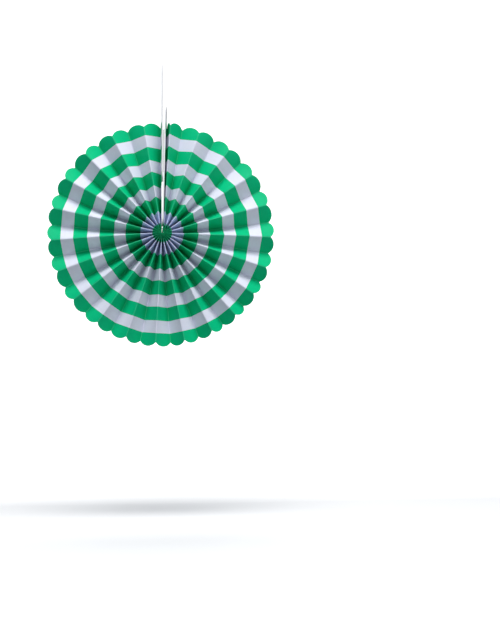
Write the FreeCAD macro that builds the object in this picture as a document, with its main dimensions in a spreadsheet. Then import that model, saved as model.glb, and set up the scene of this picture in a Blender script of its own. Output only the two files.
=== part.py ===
import FreeCAD, Part
import Sketcher
import math
import os

# Paper fan rosette, hung by the end hole of a card that stands out of its seam.
# One long strip of paper is folded into pleats and opened into a full disc. Each panel's outer
# end is cut to a rounded scallop. The strip's two end panels meet at twelve o'clock, where each
# is backed by a stiff white card. The two cards are alike, with rounded ends and a hole near
# each end. The right one stands a little above the rim, and the left one is drawn out far
# above it, to hang the fan by. A pad of foam tape joins them, and a ring of thread through
# the pleats holds the centre together.
#
# Millimetres, +Z up. The disc lies in the XZ plane and its front faces -Y. The origin is the
# centre of the left card's upper hole. Every sub-part is drawn about the hub centre, and its
# Placement carries it down to hang below the origin.

# Driving dimensions, in millimetres, degrees or counts. Angles run clockwise from twelve
# o'clock, seen from the front.
SIZES = (
    ("fan_radius", 125.0, "hub centre to the tips of the scallops"),
    ("scallop_rise", 4.6, "tip of a scallop above the notches beside it"),
    ("hub_radius", 2.2, "hub centre to the inner edge of the paper"),
    ("ridge_count", 22, "folds that stand towards the front"),
    ("least_pleat_depth", 5.6, "front to back at the tip of the widest pleat"),
    ("paper_thickness", 0.15, "coated paper"),
    ("first_ridge_angle", 4.0, "front fold just right of the seam"),
    ("first_valley_angle", 10.7, "back fold after it"),
    ("last_valley_angle", 359.1, "back fold just left of the seam"),
    ("sway_once_sine", 4.0, "pleats spread on one side and crowded on the other"),
    ("sway_once_cosine", -0.9, "the same, at right angles to it"),
    ("sway_twice_sine", 0.2, "pleats spread and crowded twice round"),
    ("sway_twice_cosine", 1.35, "the same, an eighth of a turn on"),
    ("hand_fold_error", 0.22, "each fold a little off its place"),
    ("hand_fold_change", 2.4, "how quickly that error changes from fold to fold"),
    ("card_thickness", 1.4, "white board of the two cards"),
    ("card_above_thread", 2.1, "lower end of the right card above the thread at the hub"),
    ("card_corner", 7.0, "rounding of their corners"),
    ("card_setback_front", 0.3, "front edge of a card behind the front of the pleats"),
    ("card_setback_back", 1.4, "back edge of a card short of the back of the pleats"),
    ("card_hole_inset", 5.0, "centre of a hole from the end of the card"),
    ("card_hole_diameter", 3.0, "hole near each end"),
    ("tab_rise", 17.5, "top of the right card above the scallop tips"),
    ("hanger_rise", 50.0, "top of the left card above the top of the right one"),
    ("left_card_x", -0.2, "middle of the left card from the hub centre, to the right"),
    ("right_card_x", 0.5, "the same for the right card, at its lower end and front edge"),
    ("right_card_tilt", 1.03, "lean of the right card to the right"),
    ("card_opening", 0.9, "further lean of its back edge"),
    ("left_flap_x", -0.6, "left end panel from the hub centre, at the hub"),
    ("seam_gap", 0.05, "air between neighbours at the seam"),
    ("pad_setback", 1.0, "foam pad behind the front edge of the cards"),
    ("pad_width", 5.0, "foam pad, front to back"),
    ("pad_bottom", 68.0, "hub centre to the lower end of the foam pad"),
    ("pad_top", 115.0, "hub centre to the upper end of the foam pad"),
    ("thread_diameter", 0.8, "thread through the pleats at the hub"),
    ("thread_ring_radius", 6.0, "hub centre to the middle of the thread"),
    ("thread_clearance", 0.3, "hole for the thread, all round it"),
)

doc = FreeCAD.newDocument("PaperFanRosette")
sheet = doc.addObject("Spreadsheet::Sheet", "Sizes")


def write_size(row, name, value, meaning):
    sheet.set("A%d" % row, name)
    sheet.set("B%d" % row, str(value))
    sheet.setAlias("B%d" % row, name)
    sheet.set("C%d" % row, meaning)


for row, (name, value, meaning) in enumerate(SIZES, start=1):
    write_size(row, name, value, meaning)
doc.recompute()


def size(name):
    return float(sheet.get(name))


fan_radius = size("fan_radius")
notch_radius = fan_radius - size("scallop_rise")
hub_radius = size("hub_radius")
paper = size("paper_thickness")
card = size("card_thickness")
gap = size("seam_gap")
left_card_x = size("left_card_x")
thread_reach = size("thread_ring_radius") + size("thread_diameter") / 2
right_card_bottom = thread_reach + size("card_above_thread")
right_card_top = fan_radius + size("tab_rise")
left_card_bottom = right_card_bottom + size("hanger_rise")
left_card_top = right_card_top + size("hanger_rise")
hub_drop = left_card_top - size("card_hole_inset")
below_the_hole = FreeCAD.Vector(-left_card_x, 0, -hub_drop)
flap_clearance = card / 2 + gap + paper / 2


def right_card_front_x(z):
    """Middle of the right card's front edge."""
    rise = z - right_card_bottom
    return size("right_card_x") + rise * math.tan(math.radians(size("right_card_tilt")))


def left_flap_x(z):
    """Front edge of the left end panel, which just clears the left card."""
    at_card = left_card_x - flap_clearance
    return size("left_flap_x") + (at_card - size("left_flap_x")) * z / left_card_bottom


# Folds

# A fold is a straight crease from a point beside the hub to a notch of the rim. It is given by
# those two points in the XZ plane and by its side, -1 for the front and +1 for the back.
FRONT = -1
BACK = 1


def polar(radius, degrees):
    angle = math.radians(degrees)
    return (radius * math.sin(angle), radius * math.cos(angle))


def at_hub(x):
    return (x, math.sqrt(max(hub_radius ** 2 - x ** 2, 0)))


def rim_angles():
    """Angles of the loose folds at the rim, from the first ridge to the last valley."""
    steps = 2 * int(size("ridge_count")) - 2
    start = size("first_valley_angle")
    span = size("last_valley_angle") - start
    angles = [size("first_ridge_angle")]
    for step in range(steps + 1):
        turn = 2 * math.pi * step / steps
        sway = (size("sway_once_sine") * math.sin(turn)
                + size("sway_once_cosine") * (1 - math.cos(turn))
                + size("sway_twice_sine") * math.sin(2 * turn)
                + size("sway_twice_cosine") * (1 - math.cos(2 * turn)))
        wander = math.sin(size("hand_fold_change") * step) * math.sin(turn / 2)
        angles.append(start + span * step / steps + sway + size("hand_fold_error") * wander)
    return angles


def hub_angles(count):
    """The same folds at the hub, packed evenly round it on both sides of the seam."""
    right = math.degrees(math.asin((right_flap_x(seam_foot) + 2 * paper) / hub_radius))
    left = 360 + math.degrees(math.asin((size("left_flap_x") - 2 * paper) / hub_radius))
    return [right + (left - right) * i / (count - 1) for i in range(count)]


# The right card's back edge and the end panel on its right face lean more, from this height up.
seam_foot = at_hub(size("right_card_x") + flap_clearance)[1]


def seam_slope(z):
    """Extra lean of the right card to the right, for each millimetre front to back."""
    return (z - seam_foot) * math.tan(math.radians(size("card_opening"))) / panel_width


def right_flap_x(z):
    """Front edge of the right end panel, on the right face of the right card."""
    return right_card_front_x(z) + flap_clearance


def right_flap_valley(z):
    """Back fold of the right end panel."""
    return right_flap_x(z) + seam_slope(z) * (panel_width / 2 - card_front_y)


def all_folds():
    """Folds in order from the right flap's free edge, round the disc, to the left flap's."""
    foot, top = seam_foot, notch_radius
    left_foot = at_hub(size("left_flap_x"))[1]
    folds = [
        ((right_flap_x(foot), foot), (right_flap_x(top), top), FRONT),
        ((right_flap_valley(foot), foot), (right_flap_valley(top), top), BACK),
    ]
    rim = rim_angles()
    hub = hub_angles(len(rim))
    for i, (low, high) in enumerate(zip(hub, rim)):
        side = FRONT if i % 2 == 0 else BACK
        folds.append((polar(hub_radius, low), polar(notch_radius, high), side))
    folds.append(((left_flap_x(left_foot), left_foot), (left_flap_x(top), top), FRONT))
    return folds


def widest_chord(rim):
    """The widest panel between loose folds, seen from the front at the scallop tips."""
    spread = max(b - a for a, b in zip(rim, rim[1:]))
    return 2 * fan_radius * math.sin(math.radians(spread / 2))


# The paper keeps its width between creases, so a pleat is as deep as that width and the room
# it has round the disc allow: deepest at the hub, shallowest at the tips of the scallops.
panel_width = math.hypot(widest_chord(rim_angles()), size("least_pleat_depth"))
write_size(len(SIZES) + 2, "panel_width", panel_width, "worked out: width between creases")
doc.recompute()
card_front_y = -(panel_width / 2 - size("card_setback_front"))
card_back_y = panel_width / 2 - size("card_setback_back")


FOLDS = all_folds()
PANELS = len(FOLDS) - 1
SEAM_VALLEY = 1
FIRST_LOOSE = 2
LAST_LOOSE = len(FOLDS) - 2


def plan_point(fold, reach):
    """Point of a crease in the XZ plane. Reach is 0 at the hub and 1 at the notches."""
    (x0, z0), (x1, z1), side = fold
    return (x0 + (x1 - x0) * reach, z0 + (z1 - z0) * reach)


def chord(panel, reach):
    """Width of a panel seen from the front."""
    a = plan_point(FOLDS[panel], reach)
    b = plan_point(FOLDS[panel + 1], reach)
    return math.dist(a, b)


# Share of the wide panel beside the seam in the depth of the crease after it.
SEAM_PULL = 0.25


def fold_y(index, reach):
    """Place of a crease front to back."""
    if index in (0, len(FOLDS) - 1):
        return card_front_y
    if index == SEAM_VALLEY:
        return panel_width / 2
    before = chord(index - 1, reach)
    after = chord(index, reach)
    middle = (before + after) / 2
    if index == FIRST_LOOSE:
        middle = SEAM_PULL * before + (1 - SEAM_PULL) * after
    if index == LAST_LOOSE:
        middle = (1 - SEAM_PULL) * before + SEAM_PULL * after
    depth = math.sqrt(panel_width ** 2 - middle ** 2)
    return FOLDS[index][2] * depth / 2


# Paper sheet

thread_hole_radius = size("thread_diameter") / 2 + size("thread_clearance")
HOLE_MARGIN = 2.0
HOLE_CORNERS = 8
SCALLOP_STEPS = 6
RUN_STEP = 0.001
BEYOND_THREAD = (0.04, 0.11, 0.21, 0.34, 0.5, 0.73, 1.0)


def reach_at(radius):
    return (radius - hub_radius) / (notch_radius - hub_radius)


pierced_low = reach_at(size("thread_ring_radius") - HOLE_MARGIN * thread_hole_radius)
pierced_high = reach_at(size("thread_ring_radius") + HOLE_MARGIN * thread_hole_radius)
RINGS = [0.0, pierced_low, pierced_high]
RINGS += [pierced_high + (1 - pierced_high) * share for share in BEYOND_THREAD]
PIERCED_RING = 1


def crease_points(reach):
    points = []
    for index, fold in enumerate(FOLDS):
        x, z = plan_point(fold, reach)
        points.append(FreeCAD.Vector(x, fold_y(index, reach), z))
    return points


def crease_runs(reach):
    """Unit directions of the creases, from the hub to the rim."""
    here = crease_points(reach)
    beyond = crease_points(reach + RUN_STEP)
    return [(b - a).normalize() for a, b in zip(here, beyond)]


def paper_edges(reach):
    """Corners of each panel at one reach: front start, front end, back start, back end.

    A crease is blunt on its outer side, where each panel has its own corner, and pinched on
    its inner side, where the two panels share one.
    """
    points = crease_points(reach)
    runs = crease_runs(reach)
    half = paper / 2
    starts = [None] * PANELS
    ends = [None] * PANELS
    for index, (point, run) in enumerate(zip(points, runs)):
        if index < PANELS:
            after = (points[index + 1] - point).cross(run).normalize()
        if index > 0:
            before = (point - points[index - 1]).cross(run).normalize()
        if index == 0:
            starts[index] = (point + after * half, point - after * half)
            continue
        if index == PANELS:
            ends[index - 1] = (point + before * half, point - before * half)
            continue
        pinch = (before + after) * (half / (1 + before.dot(after)))
        if FOLDS[index][2] == FRONT:
            ends[index - 1] = (point + before * half, point - pinch)
            starts[index] = (point + after * half, point - pinch)
        else:
            ends[index - 1] = (point + pinch, point - before * half)
            starts[index] = (point + pinch, point - after * half)
    return [(s[0], e[0], s[1], e[1]) for s, e in zip(starts, ends)]


def scallop_reach(share):
    """Reach of the paper's outer edge at a share of the way across a panel."""
    rise = size("scallop_rise")
    half = panel_width / 2
    radius = (half ** 2 + rise ** 2) / (2 * rise)
    height = math.sqrt(radius ** 2 - (half * (2 * share - 1)) ** 2) - (radius - rise)
    return 1 + height / (notch_radius - hub_radius)


class FacetBag:
    """Triangles of a closed surface, with points at the same place shared."""

    def __init__(self):
        self.points = []
        self.found = {}
        self.facets = []

    def number(self, point):
        key = (round(point.x, 5), round(point.y, 5), round(point.z, 5))
        if key not in self.found:
            self.found[key] = len(self.points)
            self.points.append(FreeCAD.Vector(*key))
        return self.found[key]

    def triangle(self, a, b, c):
        corners = (self.number(a), self.number(b), self.number(c))
        if len(set(corners)) == 3:
            self.facets.append(corners)

    def quad(self, a, b, c, d):
        self.triangle(a, b, c)
        self.triangle(a, c, d)

    def solid(self):
        shape = Part.Shape()
        shape.makeShapeFromMesh((self.points, self.facets), 1e-4)
        solid = Part.Solid(Part.Shell(shape.Faces))
        if solid.Volume < 0:
            solid.reverse()
        return solid


def between(a, b, share):
    return a + (b - a) * share


def outer_edge(panel):
    """Front and back points along the outer edge of a panel, from crease to crease."""
    front = []
    back = []
    for step in range(SCALLOP_STEPS + 1):
        share = step / SCALLOP_STEPS
        reach = scallop_reach(share)
        a, b, c, d = paper_edges(reach)[panel]
        front.append(between(a, b, share))
        back.append(between(c, d, share))
    return front, back


def add_panel_ring(bag, low, high):
    """Both faces of one panel between two rings. The right flap's bow away from its card."""
    bag.quad(low[0], low[1], high[1], high[0])
    bag.quad(low[2], high[2], high[3], low[3])


def reach_from_hub(panel, radius):
    """Reach at which the middle of a panel is this far from the hub centre."""
    starts = (plan_point(FOLDS[panel], 0), plan_point(FOLDS[panel + 1], 0))
    ends = (plan_point(FOLDS[panel], 1), plan_point(FOLDS[panel + 1], 1))
    x, z = [(a + b) / 2 for a, b in zip(*starts)]
    across, up = [(a + b) / 2 - c for a, b, c in zip(*ends, (x, z))]
    square = across ** 2 + up ** 2
    half = x * across + z * up
    return (math.sqrt(half ** 2 - square * (x ** 2 + z ** 2 - radius ** 2)) - half) / square


def thread_hole(panel):
    """Front and back corners of the punched hole in one panel."""
    front = []
    back = []
    radius = thread_hole_radius / math.cos(math.pi / HOLE_CORNERS)
    for corner in range(HOLE_CORNERS):
        angle = 2 * math.pi * corner / HOLE_CORNERS
        y = radius * math.cos(angle)
        reach = reach_from_hub(panel, size("thread_ring_radius") + radius * math.sin(angle))
        a, b, c, d = paper_edges(reach)[panel]
        front.append(between(a, b, (y - a.y) / (b.y - a.y)))
        back.append(between(c, d, (y - c.y) / (d.y - c.y)))
    return front, back


def add_holed_face(bag, corners, hole, turned):
    """A four-sided face round the hole: each corner meets a quarter of the hole's corners."""
    quarter = HOLE_CORNERS // 4
    for q in range(4):
        near = [hole[(q * quarter + i) % HOLE_CORNERS] for i in range(quarter + 1)]
        corner = corners[q]
        fan = [(corner, b, a) for a, b in zip(near, near[1:])]
        fan.append((corner, corners[(q + 1) % 4], near[-1]))
        for a, b, c in fan:
            bag.triangle(*((a, c, b) if turned else (a, b, c)))


def add_pierced_ring(bag, low, high, panel):
    """Both faces of one panel between two rings, with the thread's hole through them."""
    front, back = thread_hole(panel)
    rising = low[1].y > low[0].y
    order = ((1, 1), (0, 1), (0, 0), (1, 0)) if rising else ((0, 1), (1, 1), (1, 0), (0, 0))
    rings = (low, high)
    front_corners = [rings[upper][across] for across, upper in order]
    back_corners = [rings[upper][2 + across] for across, upper in order]
    add_holed_face(bag, front_corners, front, rising)
    add_holed_face(bag, back_corners, back, not rising)
    for i in range(HOLE_CORNERS):
        j = (i + 1) % HOLE_CORNERS
        wall = (front[i], back[i], back[j], front[j])
        bag.quad(*(wall if rising else reversed(wall)))


def add_crease_ring(bag, low, low_next, high, high_next, side):
    """The blunt strip along the outer side of one crease, between two rings."""
    if side == FRONT:
        bag.quad(low[1], low_next[0], high_next[0], high[1])
    else:
        bag.quad(low[3], high[3], high_next[2], low_next[2])


def add_scallop(bag, panel):
    """The rounded end of a panel beyond the notches, and its cut edge."""
    front, back = outer_edge(panel)
    for a, b in zip(front[1:], front[2:]):
        bag.triangle(front[0], b, a)
    for a, b in zip(back[1:], back[2:]):
        bag.triangle(back[0], a, b)
    for i in range(len(front) - 1):
        bag.quad(front[i], front[i + 1], back[i + 1], back[i])


def add_cut_ends(bag, rings, panel, side, following):
    """The inner edge of a panel and the blunt ends of the crease after it."""
    low = rings[0][panel]
    bag.quad(low[0], low[2], low[3], low[1])
    if not following:
        return
    for edges, turned in ((rings[0], False), (rings[-1], True)):
        here = edges[panel]
        after = edges[panel + 1]
        if side == FRONT:
            corners = (here[1], here[3], after[0])
        else:
            corners = (here[1], here[3], after[2])
        bag.triangle(*(reversed(corners) if turned else corners))


def pleated_sheet():
    """The whole folded strip as one solid."""
    bag = FacetBag()
    rings = [paper_edges(reach) for reach in RINGS]
    for ring, (lower, upper) in enumerate(zip(rings, rings[1:])):
        for panel in range(PANELS):
            if ring == PIERCED_RING:
                add_pierced_ring(bag, lower[panel], upper[panel], panel)
            else:
                add_panel_ring(bag, lower[panel], upper[panel])
            if panel + 1 < PANELS:
                add_crease_ring(bag, lower[panel], lower[panel + 1], upper[panel],
                                upper[panel + 1], FOLDS[panel + 1][2])
        for edge, (front, back) in ((0, (0, 2)), (PANELS - 1, (1, 3))):
            low, high = lower[edge], upper[edge]
            corners = (low[front], high[front], high[back], low[back])
            bag.quad(*(corners if edge == 0 else reversed(corners)))
    for panel in range(PANELS):
        add_scallop(bag, panel)
        following = panel + 1 < PANELS
        side = FOLDS[panel + 1][2]
        add_cut_ends(bag, rings, panel, side, following)
    return bag.solid()


pleated_paper = doc.addObject("Part::Feature", "pleated_paper")
pleated_paper.Label = "pleated_paper"
pleated_paper.Shape = pleated_sheet()
pleated_paper.Placement = FreeCAD.Placement(below_the_hole, FreeCAD.Rotation())


# Left end card

def plane_of(body, role):
    return next(item for item in body.Origin.OriginFeatures if item.Role == role)


def card_sketch(body):
    """Outline of a card in the YZ plane: a strip with rounded corners, and its two holes."""
    front, back = card_front_y, card_back_y
    start, top = left_card_bottom, left_card_top
    corner = size("card_corner")
    inset = size("card_hole_inset")
    radius = size("card_hole_diameter") / 2
    sketch = body.newObject("Sketcher::SketchObject", "CardOutline")
    sketch.AttachmentSupport = (plane_of(body, "YZ_Plane"), [""])
    sketch.MapMode = "FlatFace"

    def at(y, z):
        return FreeCAD.Vector(y, z, 0)

    def line(a, b):
        return Part.LineSegment(a, b)

    def arc(y, z, first):
        circle = Part.Circle(at(y, z), FreeCAD.Vector(0, 0, 1), corner)
        return Part.ArcOfCircle(circle, math.radians(first), math.radians(first + 90))

    def hole(z):
        return Part.Circle(at(0, z), FreeCAD.Vector(0, 0, 1), radius)

    sketch.addGeometry([
        line(at(front + corner, start), at(back - corner, start)),
        arc(back - corner, start + corner, 270),
        line(at(back, start + corner), at(back, top - corner)),
        arc(back - corner, top - corner, 0),
        line(at(back - corner, top), at(front + corner, top)),
        arc(front + corner, top - corner, 90),
        line(at(front, top - corner), at(front, start + corner)),
        arc(front + corner, start + corner, 180),
        hole(top - inset),
        hole(start + inset),
    ], False)

    def fix(*words):
        return sketch.addConstraint(Sketcher.Constraint(*words))

    def drive(name, expression, *words):
        number = fix(*words)
        sketch.renameConstraint(number, name)
        sketch.setExpression("Constraints." + name, expression)

    for edge in range(8):
        fix("Tangent", edge, 2, (edge + 1) % 8, 1)
    for level in (0, 4):
        fix("Horizontal", level)
    for upright in (2, 6):
        fix("Vertical", upright)
    for other in (3, 5, 7):
        fix("Equal", 1, other)
    for circle in (8, 9):
        fix("PointOnObject", circle, 3, -2)
    fix("Equal", 8, 9)
    half = "Sizes.panel_width / 2"
    top_height = "Sizes.fan_radius + Sizes.tab_rise + Sizes.hanger_rise"
    thread_height = "Sizes.thread_ring_radius + Sizes.thread_diameter / 2"
    start_height = thread_height + " + Sizes.card_above_thread + Sizes.hanger_rise"
    drive("front", half + " - Sizes.card_setback_front", "DistanceX", 6, 1, -1, 1, -front)
    drive("back", half + " - Sizes.card_setback_back", "DistanceX", -1, 1, 2, 1, back)
    drive("start", start_height, "DistanceY", -1, 1, 0, 1, start)
    drive("top", top_height, "DistanceY", -1, 1, 4, 1, top)
    drive("corner", "Sizes.card_corner", "Radius", 1, corner)
    drive("upper_hole", top_height + " - Sizes.card_hole_inset",
          "DistanceY", -1, 1, 8, 3, top - inset)
    drive("lower_hole", start_height + " + Sizes.card_hole_inset",
          "DistanceY", -1, 1, 9, 3, start + inset)
    drive("hole", "Sizes.card_hole_diameter / 2", "Radius", 8, radius)
    return sketch


left_card = doc.addObject("PartDesign::Body", "left_end_card")
left_card.Label = "left_end_card"
outline = card_sketch(left_card)
doc.recompute()
pad = left_card.newObject("PartDesign::Pad", "CardBoard")
pad.Profile = outline
pad.SideType = "Symmetric"
pad.setExpression("Length", "Sizes.card_thickness")
left_card.Placement.Base = FreeCAD.Vector(0, 0, -hub_drop)
doc.recompute()


# Right end card

SPARE_BOARD = 1.0


def card_section(z):
    """The untrimmed right board cut across at one height. Its back edge leans to the right."""
    front = card_front_y - SPARE_BOARD
    back = card_back_y + SPARE_BOARD
    x_front = right_card_front_x(z) - card / 2 - seam_slope(z) * SPARE_BOARD
    x_back = x_front + seam_slope(z) * (back - front)
    corners = ((x_front, front), (x_front + card, front), (x_back + card, back), (x_back, back))
    points = [FreeCAD.Vector(x, y, z) for x, y in corners]
    return Part.makePolygon(points + points[:1])


def right_card_shape():
    """The leaning board, trimmed to the outline and holes that both cards share."""
    low = right_card_bottom - SPARE_BOARD
    high = right_card_top + SPARE_BOARD
    board = Part.makeLoft([card_section(low), card_section(high)], True, True)
    shared = outline.Shape.copy()
    shared.translate(FreeCAD.Vector(0, 0, -size("hanger_rise")))
    wires = sorted(shared.Wires, key=lambda wire: -wire.BoundBox.DiagonalLength)
    through = FreeCAD.Vector(fan_radius, 0, 0)
    for wire in wires:
        wire.translate(through * -0.5)
    holes = [Part.Face(wire).extrude(through) for wire in wires[1:]]
    trimmed = board.common(Part.Face(wires[0]).extrude(through))
    return trimmed.cut(Part.makeCompound(holes)).Solids[0]


right_card = doc.addObject("Part::Feature", "right_end_card")
right_card.Label = "right_end_card"
right_card.Shape = right_card_shape()
right_card.Placement = FreeCAD.Placement(below_the_hole, FreeCAD.Rotation())


# Foam pad that joins the two cards

def pad_section(z):
    """The pad cut across at one height, from the left card to the right one."""
    front = card_front_y + size("pad_setback")
    back = front + size("pad_width")
    left = left_card_x + card / 2 + gap
    right = right_card_front_x(z) - card / 2 - gap
    right_front = right + seam_slope(z) * (front - card_front_y)
    right_back = right + seam_slope(z) * (back - card_front_y)
    corners = ((left, front), (right_front, front), (right_back, back), (left, back))
    points = [FreeCAD.Vector(x, y, z) for x, y in corners]
    return Part.makePolygon(points + points[:1])


foam_pad = doc.addObject("Part::Feature", "foam_pad")
foam_pad.Label = "foam_pad"
pad_ends = [pad_section(size("pad_bottom")), pad_section(size("pad_top"))]
foam_pad.Shape = Part.makeLoft(pad_ends, True, True)
foam_pad.Placement = FreeCAD.Placement(below_the_hole, FreeCAD.Rotation())


# Thread through the pleats at the hub

hub_thread = doc.addObject("Part::Torus", "hub_thread")
hub_thread.Label = "hub_thread"
hub_thread.setExpression("Radius1", "Sizes.thread_ring_radius")
hub_thread.setExpression("Radius2", "Sizes.thread_diameter / 2")
facing_front = FreeCAD.Rotation(FreeCAD.Vector(1, 0, 0), 90)
hub_thread.Placement = FreeCAD.Placement(below_the_hole, facing_front)


doc.recompute()


# Checks and files

SUB_PARTS = (pleated_paper, left_card, right_card, foam_pad, hub_thread)

for item in doc.Objects:
    if "Invalid" in item.State or "Error" in item.State:
        raise RuntimeError(item.Label + " failed: " + str(item.State))
os.makedirs("parts", exist_ok=True)
for item in SUB_PARTS:
    shape = item.Shape
    print(item.Label, "faces", len(shape.Faces), "solids", len(shape.Solids), shape.isValid())
    if shape.isNull() or not shape.isValid() or len(shape.Solids) != 1:
        raise RuntimeError(item.Label + " has no single valid solid")
    print(item.Label, round(shape.Volume, 2), "mm3")
for item in SUB_PARTS:
    item.Shape.exportStep("parts/" + item.Label + ".step")
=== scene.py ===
import math

import bpy
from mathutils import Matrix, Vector


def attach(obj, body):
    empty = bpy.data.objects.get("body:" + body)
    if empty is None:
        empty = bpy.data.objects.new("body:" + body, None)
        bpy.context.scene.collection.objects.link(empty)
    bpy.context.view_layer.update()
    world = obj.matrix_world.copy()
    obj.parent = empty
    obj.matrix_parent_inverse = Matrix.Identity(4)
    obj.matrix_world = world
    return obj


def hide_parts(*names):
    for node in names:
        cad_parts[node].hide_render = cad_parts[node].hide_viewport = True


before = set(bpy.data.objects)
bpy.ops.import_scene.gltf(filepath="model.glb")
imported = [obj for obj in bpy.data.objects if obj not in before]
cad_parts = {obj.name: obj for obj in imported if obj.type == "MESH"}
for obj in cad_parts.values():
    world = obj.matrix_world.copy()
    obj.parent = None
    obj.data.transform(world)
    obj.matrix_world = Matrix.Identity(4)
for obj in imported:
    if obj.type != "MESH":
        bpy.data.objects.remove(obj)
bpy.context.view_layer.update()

# Paper fan rosette: a strip of printed paper in pleats, opened into a disc, with two white end
# cards at the seam. The left card is drawn out above the rim, and the fan hangs by its upper hole.
# Metres, +Z up, front towards -Y. The origin is the centre of that hole.

MM = 0.001


# Sizes of the folded strip, in millimetres and degrees, as in the part's source, but for
# CARD_LENGTH: it is 3.0 short of the cards, which puts the end panels about 0.05 nearer to them

FAN_RADIUS = 125.0
SCALLOP_RISE = 4.6
HUB_RADIUS = 2.2
RIDGES = 22
LEAST_PLEAT_DEPTH = 5.6
PAPER = 0.15
FIRST_RIDGE_ANGLE = 4.0
FIRST_VALLEY_ANGLE = 10.7
LAST_VALLEY_ANGLE = 359.1
SWAY_ONCE_SINE = 4.0
SWAY_ONCE_COSINE = -0.9
SWAY_TWICE_SINE = 0.2
SWAY_TWICE_COSINE = 1.35
HAND_FOLD_ERROR = 0.22
HAND_FOLD_CHANGE = 2.4
CARD = 1.4
CARD_LENGTH = 131.0
CARD_SETBACK_FRONT = 0.3
CARD_HOLE_INSET = 5.0
TAB_RISE = 17.5
HANGER_RISE = 50.0
LEFT_CARD_X = -0.2
RIGHT_CARD_X = 0.5
RIGHT_CARD_TILT = 1.03
CARD_OPENING = 0.9
LEFT_FLAP_X = -0.6
SEAM_GAP = 0.05
SEAM_PULL = 0.25
SEAM_CLOSED_BELOW = 8.0
SEAM_CLOSING_RATE = 1.3
CLOSED_SEAM_X = -0.3

NOTCH_RADIUS = FAN_RADIUS - SCALLOP_RISE
LEFT_CARD_TOP = FAN_RADIUS + TAB_RISE + HANGER_RISE
LEFT_CARD_BOTTOM = LEFT_CARD_TOP - CARD_LENGTH
RIGHT_CARD_BOTTOM = LEFT_CARD_BOTTOM - HANGER_RISE
HUB_DROP = LEFT_CARD_TOP - CARD_HOLE_INSET
HUB_X = -LEFT_CARD_X
FLAP_CLEARANCE = CARD / 2 + SEAM_GAP + PAPER / 2

FRONT = -1
BACK = 1


# Camera: the hub's place in the picture fixes where it looks

PICTURE = (500, 625)
SENSOR = 36.0
FOCAL_PIXELS = 1000.0
HUB_PIXEL = (161.4, 233.75)
MM_PER_PIXEL = 1.103
ROLL = -0.2
SEEN_FROM_LEFT = 1.5
SEEN_FROM_BELOW = 9.3
CLIP_START = 0.05
CLIP_END = 40.0


def place_camera():
    """A camera below the hub and a little to its left, with the hub up and left in its view."""
    data = bpy.data.cameras.new("camera")
    data.sensor_width = SENSOR
    data.lens = SENSOR * FOCAL_PIXELS / max(PICTURE)
    data.clip_start = CLIP_START
    data.clip_end = CLIP_END
    camera = bpy.data.objects.new("camera", data)
    bpy.context.scene.collection.objects.link(camera)
    bpy.context.scene.camera = camera
    across = (HUB_PIXEL[0] - PICTURE[0] / 2) / FOCAL_PIXELS
    up = (PICTURE[1] / 2 - HUB_PIXEL[1]) / FOCAL_PIXELS
    distance = MM_PER_PIXEL * FOCAL_PIXELS * MM * math.sqrt(1 + across ** 2 + up ** 2)
    side = math.radians(SEEN_FROM_LEFT)
    low = math.radians(SEEN_FROM_BELOW)
    towards_hub = Vector((math.sin(side) * math.cos(low), math.cos(side) * math.cos(low),
                          math.sin(low)))
    camera.location = Vector((HUB_X, 0, -HUB_DROP)) * MM - towards_hub * distance
    turn = side - math.atan(across)
    tilt = low - math.atan(up / math.sqrt(1 + across ** 2))
    camera.rotation_euler = (math.radians(90) + tilt, 0, -turn)
    camera.rotation_euler.rotate_axis("Z", math.radians(ROLL))


place_camera()


def deselect():
    bpy.ops.object.select_all(action="DESELECT")


# Folds: straight creases from the hub to the notches, by the same rule as the part's source

def polar(radius, degrees):
    angle = math.radians(degrees)
    return (radius * math.sin(angle), radius * math.cos(angle))


def at_hub(x):
    """The point straight above x on the circle where the solid paper starts."""
    return (x, math.sqrt(max(HUB_RADIUS ** 2 - x ** 2, 0)))


def right_card_front_x(z):
    """Middle of the right card's front edge."""
    return RIGHT_CARD_X + (z - RIGHT_CARD_BOTTOM) * math.tan(math.radians(RIGHT_CARD_TILT))


def right_flap_x(z):
    return right_card_front_x(z) + FLAP_CLEARANCE


def left_flap_x(z):
    at_card = LEFT_CARD_X - FLAP_CLEARANCE
    return LEFT_FLAP_X + (at_card - LEFT_FLAP_X) * z / LEFT_CARD_BOTTOM


SEAM_FOOT = at_hub(RIGHT_CARD_X + FLAP_CLEARANCE)[1]


def rim_angles():
    steps = 2 * RIDGES - 2
    span = LAST_VALLEY_ANGLE - FIRST_VALLEY_ANGLE
    angles = [FIRST_RIDGE_ANGLE]
    for step in range(steps + 1):
        turn = 2 * math.pi * step / steps
        sway = (SWAY_ONCE_SINE * math.sin(turn)
                + SWAY_ONCE_COSINE * (1 - math.cos(turn))
                + SWAY_TWICE_SINE * math.sin(2 * turn)
                + SWAY_TWICE_COSINE * (1 - math.cos(2 * turn)))
        wander = math.sin(HAND_FOLD_CHANGE * step) * math.sin(turn / 2)
        angles.append(FIRST_VALLEY_ANGLE + span * step / steps + sway
                      + HAND_FOLD_ERROR * wander)
    return angles


def hub_angles(count):
    right = math.degrees(math.asin((right_flap_x(SEAM_FOOT) + 2 * PAPER) / HUB_RADIUS))
    left = 360 + math.degrees(math.asin((LEFT_FLAP_X - 2 * PAPER) / HUB_RADIUS))
    return [right + (left - right) * i / (count - 1) for i in range(count)]


def widest_chord(rim):
    spread = max(b - a for a, b in zip(rim, rim[1:]))
    return 2 * FAN_RADIUS * math.sin(math.radians(spread / 2))


PANEL_WIDTH = math.hypot(widest_chord(rim_angles()), LEAST_PLEAT_DEPTH)
CARD_FRONT_Y = -(PANEL_WIDTH / 2 - CARD_SETBACK_FRONT)


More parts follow.
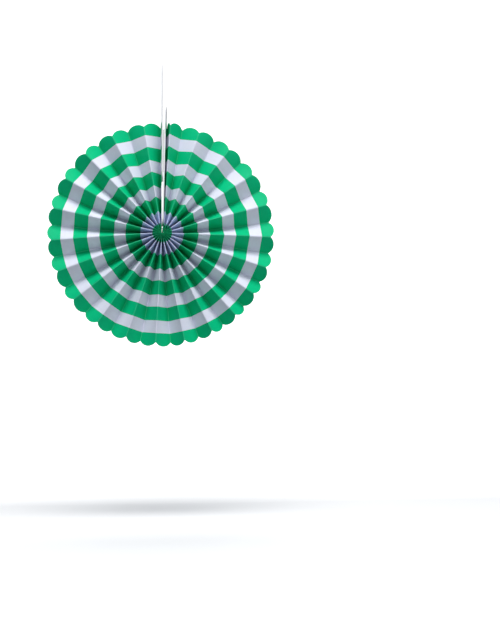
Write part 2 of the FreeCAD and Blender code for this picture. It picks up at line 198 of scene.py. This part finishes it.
def right_flap_valley(z):
    """Back fold of the right end panel, which leans more than its front edge."""
    slope = (z - SEAM_FOOT) * math.tan(math.radians(CARD_OPENING)) / PANEL_WIDTH
    return right_flap_x(z) + slope * (PANEL_WIDTH / 2 - CARD_FRONT_Y)


def all_folds():
    """From the right flap's free edge, round the disc, to the left flap's free edge."""
    foot, top = SEAM_FOOT, NOTCH_RADIUS
    left_foot = at_hub(LEFT_FLAP_X)[1]
    folds = [
        ((right_flap_x(foot), foot), (right_flap_x(top), top), FRONT),
        ((right_flap_valley(foot), foot), (right_flap_valley(top), top), BACK),
    ]
    rim = rim_angles()
    for i, (low, high) in enumerate(zip(hub_angles(len(rim)), rim)):
        side = FRONT if i % 2 == 0 else BACK
        folds.append((polar(HUB_RADIUS, low), polar(NOTCH_RADIUS, high), side))
    folds.append(((left_flap_x(left_foot), left_foot), (left_flap_x(top), top), FRONT))
    return folds


FOLDS = all_folds()
PANELS = len(FOLDS) - 1
SEAM_VALLEY = 1
FIRST_LOOSE = 2
LAST_LOOSE = len(FOLDS) - 2
RIGHT_FLAP = 0
LEFT_FLAP = PANELS - 1


def plan_point(fold, reach):
    """A point of a fold seen from the front: reach is 0 at the hub and 1 at the notch."""
    (x0, z0), (x1, z1), side = fold
    return (x0 + (x1 - x0) * reach, z0 + (z1 - z0) * reach)


def chord(panel, reach):
    return math.dist(plan_point(FOLDS[panel], reach), plan_point(FOLDS[panel + 1], reach))


def fold_y(index, reach):
    """Depth of a fold, so that the panels beside it keep their width."""
    if index in (0, len(FOLDS) - 1):
        return CARD_FRONT_Y
    if index == SEAM_VALLEY:
        return PANEL_WIDTH / 2
    before = chord(index - 1, reach)
    after = chord(index, reach)
    middle = (before + after) / 2
    if index == FIRST_LOOSE:
        middle = SEAM_PULL * before + (1 - SEAM_PULL) * after
    if index == LAST_LOOSE:
        middle = (1 - SEAM_PULL) * before + SEAM_PULL * after
    return FOLDS[index][2] * math.sqrt(PANEL_WIDTH ** 2 - middle ** 2) / 2


def crease_point(index, reach):
    x, z = plan_point(FOLDS[index], reach)
    if index <= SEAM_VALLEY and z < SEAM_CLOSED_BELOW:
        closed = min(1.0, SEAM_CLOSING_RATE * (1 - z / SEAM_CLOSED_BELOW))
        x += (CLOSED_SEAM_X - x) * closed
    return Vector((x + HUB_X, fold_y(index, reach), z - HUB_DROP))


def scallop_rise(share):
    """Height of the scallop over the notches, a share of the way across a panel."""
    half = PANEL_WIDTH / 2
    radius = (half ** 2 + SCALLOP_RISE ** 2) / (2 * SCALLOP_RISE)
    return math.sqrt(radius ** 2 - (half * (2 * share - 1)) ** 2) - (radius - SCALLOP_RISE)


# Pleated paper: a flat grid, one block of columns for each panel, folded point by point.
# SHARES are the places of a panel's columns across its width.

SHARES = (0.0, 0.02, 0.09, 0.22, 0.36, 0.5, 0.64, 0.78, 0.91, 0.98)
ROWS = 72
RIM_ROWS_POWER = 1.25
SCALLOP_POWER = 7
PAPER_BOW = 0.35
BOW_MIDDLE = 0.35
BOW_CHANGE = 1.9
BOW_GROWTH = 0.7
CREASE_ROUNDING = 0.25
CREASE_HALF_WIDTH = 0.27
CREASE_MOST_SHARE = 0.13
CREASE_SPREAD = 0.16
CREASE_FALLOFF = 0.7
INNER_RADIUS = 0.7
SMOOTH_BELOW = 32


def column_places():
    """Panel and share of every column of the flat grid."""
    places = [(panel, share) for panel in range(PANELS) for share in SHARES]
    return places + [(PANELS - 1, 1.0)]


def paper_bow(panel, reach):
    """How far a panel bellies out between its creases."""
    if panel in (RIGHT_FLAP, LEFT_FLAP) or reach < 0:
        return 0.0
    uneven = BOW_MIDDLE + (1 - BOW_MIDDLE) * math.sin(BOW_CHANGE * panel)
    return PAPER_BOW * uneven * min(reach, 1.0) ** BOW_GROWTH


def crease_width(share, spacing):
    """How far a point beside a crease is pushed off it, so that the fold is round, not sharp."""
    near = min(share, 1 - share)
    if near == 0:
        return 0.0
    widest = min(CREASE_HALF_WIDTH, CREASE_MOST_SHARE * spacing)
    push = widest * max(0.0, 1 - near / CREASE_SPREAD) ** CREASE_FALLOFF
    return push if share < 0.5 else -push


def folded_place(panel, share, row):
    """Place of one point of the folded strip, and its distances from hub and crease."""
    line = (row / ROWS) ** (1 / RIM_ROWS_POWER)
    run = NOTCH_RADIUS - HUB_RADIUS
    start = (INNER_RADIUS - HUB_RADIUS) / run
    reach = start + (1 - start) * line + scallop_rise(share) / run * line ** SCALLOP_POWER
    a = crease_point(panel, reach)
    b = crease_point(panel + 1, reach)
    place = a + (b - a) * share
    across = b - a
    outward = Vector((a.x + b.x - 2 * HUB_X, 0, a.z + b.z + 2 * HUB_DROP)).normalized()
    normal = across.cross(outward).normalized()
    place += normal * paper_bow(panel, reach) * 4 * share * (1 - share)
    if panel not in (RIGHT_FLAP, LEFT_FLAP):
        sideways = Vector((across.x, 0, across.z))
        place += sideways.normalized() * crease_width(share, sideways.length)
    if share == 0.0 and FIRST_LOOSE <= panel <= LAST_LOOSE:
        place.y -= FOLDS[panel][2] * CREASE_ROUNDING
    return place, HUB_RADIUS + reach * run, min(share, 1 - share) * across.length


def fold_paper():
    columns = column_places()
    deselect()
    bpy.ops.mesh.primitive_grid_add(x_subdivisions=len(columns) - 1, y_subdivisions=ROWS,
                                    size=1.0)
    paper = bpy.context.object
    paper.name = "folded_paper"
    mesh = paper.data
    from_hub = mesh.attributes.new("from_hub", "FLOAT", "POINT")
    from_crease = mesh.attributes.new("from_crease", "FLOAT", "POINT")
    along = mesh.attributes.new("along_strip", "FLOAT", "POINT")
    for index, vertex in enumerate(mesh.vertices):
        column = round((vertex.co.x + 0.5) * (len(columns) - 1))
        row = round((vertex.co.y + 0.5) * ROWS)
        panel, share = columns[column]
        place, hub, crease = folded_place(panel, share, row)
        vertex.co = place * MM
        from_hub.data[index].value = hub
        from_crease.data[index].value = crease
        along.data[index].value = (panel + share) * PANEL_WIDTH
    thick = paper.modifiers.new("paper_thickness", "SOLIDIFY")
    thick.thickness = PAPER * MM
    thick.offset = 0.0
    bpy.ops.object.modifier_apply(modifier=thick.name)
    bpy.ops.object.shade_smooth_by_angle(angle=math.radians(SMOOTH_BELOW))
    return paper


folded_paper = fold_paper()


# Materials

def to_linear(value):
    """One channel of a picture's colour, 0 to 255, as an amount of light."""
    value /= 255
    return value / 12.92 if value <= 0.04045 else ((value + 0.055) / 1.055) ** 2.4


def colour(red, green, blue):
    """A colour given as it looks in a picture, 0 to 255."""
    return (to_linear(red), to_linear(green), to_linear(blue), 1.0)


class Nodes:
    """Adds nodes to a tree and links them by name."""

    def __init__(self, tree):
        self.tree = tree

    def feed(self, socket, value):
        """Links a socket to another node's output, or sets its plain value."""
        if isinstance(value, bpy.types.NodeSocket):
            self.tree.links.new(value, socket)
        else:
            socket.default_value = value

    def add(self, kind, inputs=None, **settings):
        node = self.tree.nodes.new(kind)
        for name, value in settings.items():
            setattr(node, name, value)
        for name, value in (inputs or {}).items():
            self.feed(node.inputs[name], value)
        return node

    def math(self, operation, first, second=0.0):
        node = self.tree.nodes.new("ShaderNodeMath")
        node.operation = operation
        for socket, value in zip(node.inputs, (first, second)):
            self.feed(socket, value)
        return node.outputs[0]

    def mix(self, factor, first, second, blend="MIX"):
        node = self.tree.nodes.new("ShaderNodeMix")
        node.data_type = "RGBA"
        node.blend_type = blend
        for socket, value in ((node.inputs[0], factor), (node.inputs[6], first),
                              (node.inputs[7], second)):
            self.feed(socket, value)
        return node.outputs[2]

    def grey(self, level):
        """A colour with the same level in all three channels."""
        return self.add("ShaderNodeCombineColor",
                        {"Red": level, "Green": level, "Blue": level}).outputs[0]

    def bump(self, strength, distance, height):
        return self.add("ShaderNodeBump", {"Strength": strength, "Distance": distance,
                                           "Height": height}).outputs[0]


def new_group(name, inputs, outputs):
    """A shader node group with named sockets."""
    group = bpy.data.node_groups.new(name, "ShaderNodeTree")
    for socket, kind, value in inputs:
        made = group.interface.new_socket(socket, in_out="INPUT", socket_type=kind)
        if value is not None:
            made.default_value = value
    for socket, kind in outputs:
        group.interface.new_socket(socket, in_out="OUTPUT", socket_type=kind)
    nodes = Nodes(group)
    return group, nodes, nodes.add("NodeGroupInput"), nodes.add("NodeGroupOutput")


FIBRE_STRETCH = (1.0, 0.35, 1.0)
FIBRE_FINENESS = 4.0
FIBRE_SHARE = 0.6
CLOUD_FINENESS = 0.18


def paper_fibre_group():
    """Fine fibres and soft cloudiness of paper or board: a height and a tone round 1."""
    group, nodes, given, result = new_group(
        "paper_fibre",
        [("Place", "NodeSocketVector", None), ("Scale", "NodeSocketFloat", 1.0),
         ("Tone Change", "NodeSocketFloat", 0.04)],
        [("Height", "NodeSocketFloat"), ("Tone", "NodeSocketFloat")])
    stretch = nodes.add("ShaderNodeVectorMath", {0: given.outputs["Place"]}, operation="MULTIPLY")
    stretch.inputs[1].default_value = FIBRE_STRETCH
    fibre = nodes.add("ShaderNodeTexNoise", {
        "Vector": stretch.outputs[0],
        "Scale": nodes.math("MULTIPLY", given.outputs["Scale"], FIBRE_FINENESS),
        "Detail": 5.0, "Roughness": 0.62})
    cloud = nodes.add("ShaderNodeTexNoise", {
        "Vector": given.outputs["Place"],
        "Scale": nodes.math("MULTIPLY", given.outputs["Scale"], CLOUD_FINENESS),
        "Detail": 3.0})
    both = nodes.math("ADD", nodes.math("MULTIPLY", fibre.outputs[0], FIBRE_SHARE),
                      nodes.math("MULTIPLY", cloud.outputs[0], 1 - FIBRE_SHARE))
    shift = nodes.math("MULTIPLY", nodes.math("SUBTRACT", both, 0.5), given.outputs["Tone Change"])
    nodes.tree.links.new(fibre.outputs[0], result.inputs["Height"])
    nodes.tree.links.new(nodes.math("ADD", nodes.math("MULTIPLY", shift, 2.0), 1.0),
                         result.inputs["Tone"])
    return group


PAPER_FIBRE = paper_fibre_group()


def new_material(name, roughness, specular=0.5):
    material = bpy.data.materials.new(name)
    material.use_nodes = True
    nodes = Nodes(material.node_tree)
    shader = material.node_tree.nodes["Principled BSDF"]
    shader.inputs["Roughness"].default_value = roughness
    shader.inputs["Specular IOR Level"].default_value = specular
    return material, nodes, shader


# Printed stripes, by millimetres from the hub: green, then white and green by turns
STRIPE_EDGES = (10.5, 23.8, 39.8, 52.5, 68.0, 81.3, 96.4, 109.9)
GREEN = colour(0, 189, 127)
WHITE = colour(224, 225, 239)
# The innermost white stripe is bluer than the other white: painted cool shade of the deep pleats
# round the hub.
INNER_WHITE_COOL_SHADE = colour(208, 216, 246)
BOARD_WHITE = colour(240, 240, 240)
THREAD_WHITE = colour(236, 236, 232)
THREAD_SHADE = 0.8
FOAM_WHITE = colour(238, 238, 236)
# Grey at the centres of the foam cells: painted shade in the hollows of white foam.
FOAM_PIT_SHADE = colour(196, 196, 194)

# Patterns: widths are millimetres of the flat strip. The paper's scale is per millimetre of it
# and the other scales are per metre. Grain is a height in metres, and a bump is its strength.
STRIPE_WANDER = 0.25
# Whitening along the creases: partly worn ink at the folds, partly a painted highlight on the
# ridges.
WORN_AND_HIGHLIGHT_WIDTH = 0.35
WORN_AND_HIGHLIGHT_SHARE = 0.12
PAPER_FIBRE_SCALE = 1.4
BOARD_FIBRE_SCALE = 900.0
TWIST_SCALE = 900.0
CELL_SCALE = 2600.0
PAPER_BUMP = 0.12
BOARD_BUMP = 0.2
COARSE_BUMP = 0.5
PAPER_GRAIN = 0.00005
COARSE_GRAIN = 0.0001


def printed_paper():
    material, nodes, shader = new_material("printed_paper", roughness=0.55, specular=0.1)
    hub = nodes.add("ShaderNodeAttribute", attribute_name="from_hub")
    crease = nodes.add("ShaderNodeAttribute", attribute_name="from_crease")
    along = nodes.add("ShaderNodeAttribute", attribute_name="along_strip")
    flat = nodes.add("ShaderNodeCombineXYZ", {"X": along.outputs["Fac"], "Y": hub.outputs["Fac"]})
    edge_noise = nodes.add("ShaderNodeTexNoise", {"Vector": flat.outputs[0], "Scale": 2.2})
    centred = nodes.math("SUBTRACT", edge_noise.outputs[0], 0.5)
    wander = nodes.math("MULTIPLY", centred, STRIPE_WANDER)
    share = nodes.math("DIVIDE", nodes.math("ADD", hub.outputs["Fac"], wander), FAN_RADIUS)
    ramp = nodes.add("ShaderNodeValToRGB", {"Fac": share})
    ramp.color_ramp.interpolation = "CONSTANT"
    stops = ramp.color_ramp.elements
    stops[0].position = 0.0
    stops[0].color = GREEN
    stops[1].position = STRIPE_EDGES[0] / FAN_RADIUS
    # First white stripe: white with painted cool shade.
    stops[1].color = INNER_WHITE_COOL_SHADE
    for number, place in enumerate(STRIPE_EDGES[1:]):
        stop = stops.new(place / FAN_RADIUS)
        stop.color = GREEN if number % 2 == 0 else WHITE
    fibre = nodes.add("ShaderNodeGroup", node_tree=PAPER_FIBRE)
    nodes.feed(fibre.inputs["Place"], flat.outputs[0])
    fibre.inputs["Scale"].default_value = PAPER_FIBRE_SCALE
    fibre.inputs["Tone Change"].default_value = 0.07
    tone = nodes.grey(fibre.outputs["Tone"])
    printed = nodes.mix(1.0, ramp.outputs[0], tone, "MULTIPLY")
    # Noisy whitening near every crease: worn ink at the folds and a painted ridge highlight.
    near = nodes.add("ShaderNodeMapRange", {
        "Value": crease.outputs["Fac"], "From Min": 0.0, "From Max": WORN_AND_HIGHLIGHT_WIDTH,
        "To Min": 1.0, "To Max": 0.0})
    patch = nodes.add("ShaderNodeTexNoise", {"Vector": flat.outputs[0], "Scale": 1.1,
                                             "Detail": 4.0})
    worn_and_highlight = nodes.math("MULTIPLY", near.outputs[0],
                      nodes.math("MULTIPLY", patch.outputs[0], WORN_AND_HIGHLIGHT_SHARE))
    shown = nodes.mix(worn_and_highlight, printed, WHITE)
    nodes.feed(shader.inputs["Base Color"], shown)
    bump = nodes.bump(PAPER_BUMP, PAPER_GRAIN, fibre.outputs["Height"])
    nodes.feed(shader.inputs["Normal"], bump)
    return material


def board_material():
    material, nodes, shader = new_material("white_board", roughness=0.7, specular=0.35)
    place = nodes.add("ShaderNodeTexCoord")
    fibre = nodes.add("ShaderNodeGroup", node_tree=PAPER_FIBRE)
    nodes.feed(fibre.inputs["Place"], place.outputs["Object"])
    fibre.inputs["Scale"].default_value = BOARD_FIBRE_SCALE
    fibre.inputs["Tone Change"].default_value = 0.05
    tone = nodes.grey(fibre.outputs["Tone"])
    shown = nodes.mix(1.0, BOARD_WHITE, tone, "MULTIPLY")
    nodes.feed(shader.inputs["Base Color"], shown)
    bump = nodes.bump(BOARD_BUMP, PAPER_GRAIN, fibre.outputs["Height"])
    nodes.feed(shader.inputs["Normal"], bump)
    return material


def thread_material():
    """Twisted fibres: slanting bands round a thin thread."""
    material, nodes, shader = new_material("hub_thread", roughness=0.75, specular=0.3)
    place = nodes.add("ShaderNodeTexCoord")
    bands = nodes.add("ShaderNodeTexWave", {
        "Vector": place.outputs["Object"], "Scale": TWIST_SCALE, "Distortion": 1.5, "Detail": 2.0},
        bands_direction="DIAGONAL")
    shade = tuple(level * THREAD_SHADE for level in THREAD_WHITE[:3]) + (1.0,)
    shown = nodes.mix(bands.outputs["Fac"], shade, THREAD_WHITE)
    nodes.feed(shader.inputs["Base Color"], shown)
    bump = nodes.bump(COARSE_BUMP, COARSE_GRAIN, bands.outputs["Fac"])
    nodes.feed(shader.inputs["Normal"], bump)
    return material


def foam_material():
    """Fine open cells at the cut edge of white foam tape, with painted shade in the cell pits."""
    material, nodes, shader = new_material("foam_tape", roughness=0.85, specular=0.2)
    place = nodes.add("ShaderNodeTexCoord")
    cells = nodes.add("ShaderNodeTexVoronoi", {"Vector": place.outputs["Object"],
                                               "Scale": CELL_SCALE})
    shown = nodes.mix(cells.outputs["Distance"], FOAM_PIT_SHADE, FOAM_WHITE)
    nodes.feed(shader.inputs["Base Color"], shown)
    bump = nodes.bump(COARSE_BUMP, COARSE_GRAIN, cells.outputs["Distance"])
    nodes.feed(shader.inputs["Normal"], bump)
    return material


def dress(piece, material):
    piece.data.materials.clear()
    piece.data.materials.append(material)


def dress_node(name, material):
    """A CAD node keeps its mesh and takes this material."""
    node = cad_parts[name]
    node.data.materials.clear()
    node.data.materials.append(material)


dress(folded_paper, printed_paper())
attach(folded_paper, "root")
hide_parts("pleated_paper")

white_board = board_material()
dress_node("left_end_card", white_board)
dress_node("right_end_card", white_board)
dress_node("foam_pad", foam_material())
dress_node("hub_thread", thread_material())


# Floor, wall and light

FLOOR_Z = -0.503
WALL_Y = 1.6
STAGE_HALF_WIDTH = 4.0
STAGE_FRONT_Y = -4.0
STAGE_RISE = 4.0
STAGE_ROWS = 40
FLOOR_SHARE = 0.4
BEND_SHARE = 0.4
CORNER_RADIUS = 0.8
STAGE_TO_LIGHT = colour(158, 158, 160)
STAGE_TO_CAMERA = colour(228, 228, 228)
WALL_GLOW = 0.74
FLOOR_GLOW = 0.2
GLOW_RISES_FROM_Y = 0.2
GLOW_FULL_AT_Y = 0.5


def stage_section(share):
    """Y and Z of the stage, a share of the way from its front edge to its top."""
    bend_y = WALL_Y - CORNER_RADIUS
    if share < FLOOR_SHARE:
        return STAGE_FRONT_Y + (bend_y - STAGE_FRONT_Y) * share / FLOOR_SHARE, FLOOR_Z
    if share < FLOOR_SHARE + BEND_SHARE:
        angle = math.pi / 2 * (share - FLOOR_SHARE) / BEND_SHARE
        return (bend_y + CORNER_RADIUS * math.sin(angle),
                FLOOR_Z + CORNER_RADIUS * (1 - math.cos(angle)))
    wall_start = FLOOR_SHARE + BEND_SHARE
    risen = (share - wall_start) / (1 - wall_start)
    return WALL_Y, FLOOR_Z + CORNER_RADIUS + STAGE_RISE * risen


def make_stage():
    """A pale floor that curves up into a wall behind the object."""
    deselect()
    bpy.ops.mesh.primitive_grid_add(x_subdivisions=1, y_subdivisions=STAGE_ROWS, size=1.0)
    stage = bpy.context.object
    stage.name = "studio_floor"
    for vertex in stage.data.vertices:
        y, z = stage_section(vertex.co.y + 0.5)
        vertex.co = (vertex.co.x * 2 * STAGE_HALF_WIDTH, y, z)
    bpy.ops.object.shade_smooth()
    return stage


def stage_material():
    """Near white and glowing to the camera and in reflections, a plain grey to the light."""
    material = bpy.data.materials.new("studio_white")
    material.use_nodes = True
    tree = material.node_tree
    nodes = Nodes(tree)
    shader = tree.nodes["Principled BSDF"]
    shader.inputs["Roughness"].default_value = 0.9
    shader.inputs["Specular IOR Level"].default_value = 0.0
    path = nodes.add("ShaderNodeLightPath")
    seen = nodes.math("MAXIMUM", path.outputs["Is Camera Ray"],
                      nodes.math("MAXIMUM", path.outputs["Is Glossy Ray"],
                                 path.outputs["Is Transmission Ray"]))
    shown = nodes.mix(seen, STAGE_TO_LIGHT, STAGE_TO_CAMERA)
    nodes.feed(shader.inputs["Base Color"], shown)
    surface = nodes.add("ShaderNodeNewGeometry")
    place = nodes.add("ShaderNodeSeparateXYZ", {"Vector": surface.outputs["Position"]})
    level = nodes.add("ShaderNodeMapRange", {
        "Value": place.outputs["Y"], "From Min": GLOW_RISES_FROM_Y, "From Max": GLOW_FULL_AT_Y,
        "To Min": FLOOR_GLOW, "To Max": WALL_GLOW})
    strength = nodes.math("MULTIPLY", seen, level.outputs[0])
    glow = nodes.add("ShaderNodeEmission", {"Color": (1, 1, 1, 1), "Strength": strength})
    both = nodes.add("ShaderNodeAddShader", {0: shader.outputs[0], 1: glow.outputs[0]})
    nodes.feed(tree.nodes["Material Output"].inputs["Surface"], both.outputs[0])
    return material


stage = make_stage()
stage.data.materials.append(stage_material())


HUB_PLACE = (HUB_X * MM, 0.0, -HUB_DROP * MM)


def add_softbox(name, place, size, power):
    """A rectangular lamp that points at the hub."""
    data = bpy.data.lights.new(name, "AREA")
    data.shape = "RECTANGLE"
    data.size, data.size_y = size
    data.energy = power
    lamp = bpy.data.objects.new(name, data)
    bpy.context.scene.collection.objects.link(lamp)
    lamp.location = place
    lamp.rotation_euler = (Vector(HUB_PLACE) - Vector(place)).to_track_quat("-Z", "Y").to_euler()


add_softbox("top_softbox", place=(0.0, -0.75, 1.15), size=(1.0, 0.7), power=24.5)
add_softbox("right_fill", place=(1.2, -0.9, 0.0), size=(0.8, 0.8), power=3.5)
add_softbox("back_softbox", place=(0.0, 0.75, 1.3), size=(1.0, 0.7), power=11.0)
add_softbox("front_fill", place=(-0.2, -2.2, 0.0), size=(1.6, 1.6), power=4.2)


WORLD_LEVEL = 0.24
WORLD_TINT = (0.7, 0.82, 1.0, 1.0)
PLAIN_WHITE = (1.0, 1.0, 1.0, 1.0)


def set_world():
    """White to the camera, a dim and cool white to the object."""
    world = bpy.data.worlds.new("studio")
    world.use_nodes = True
    bpy.context.scene.world = world
    nodes = Nodes(world.node_tree)
    background = world.node_tree.nodes["Background"]
    path = nodes.add("ShaderNodeLightPath")
    seen = path.outputs["Is Camera Ray"]
    tint = nodes.mix(seen, WORLD_TINT, PLAIN_WHITE)
    nodes.feed(background.inputs["Color"], tint)
    strength = nodes.math("ADD", nodes.math("MULTIPLY", seen, 1 - WORLD_LEVEL), WORLD_LEVEL)
    nodes.feed(background.inputs["Strength"], strength)


set_world()
bpy.context.scene.view_settings.view_transform = "Standard"
